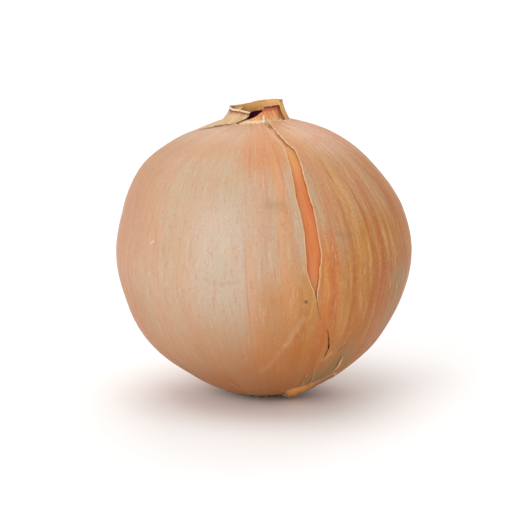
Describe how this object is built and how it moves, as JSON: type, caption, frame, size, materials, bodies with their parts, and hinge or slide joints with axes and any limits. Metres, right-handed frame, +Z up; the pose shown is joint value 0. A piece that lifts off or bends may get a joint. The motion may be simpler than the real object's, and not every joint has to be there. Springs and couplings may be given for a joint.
{
  "type": "onion",
  "caption": "Whole dry yellow onion with a split papery outer skin, a short cut neck of dried sheaths and a trimmed root plate it stands on.",
  "frame": {"origin": "middle of the flat under the root plate, on the surface that the onion stands on", "axes": "+Z up, front with the split skin towards -Y, neck leaning slightly towards -X"},
  "size_m": [0.0766, 0.0777, 0.0774],
  "materials": {
    "inner_skin": "smooth orange skin with a soft sheen",
    "outer_skin": "dry papery skin with fine veins and a satin sheen",
    "neck_sheath_left": "pale dry sheath, matt",
    "neck_sheath_back": "yellowish dry sheath, matt",
    "neck_sheath_right": "reddish brown dry sheath, matt",
    "base_flap": "yellow-orange papery skin",
    "root_plate": "corky, with dry trimmed roots"
  },
  "bodies": {
    "root": {"bulb": "inner_skin", "outer_skin": "outer_skin", "neck_sheath_left": "neck_sheath_left", "neck_sheath_back": "neck_sheath_back", "neck_sheath_right": "neck_sheath_right", "base_flap": "base_flap", "root_plate": "root_plate"}
  },
  "joints": []
}
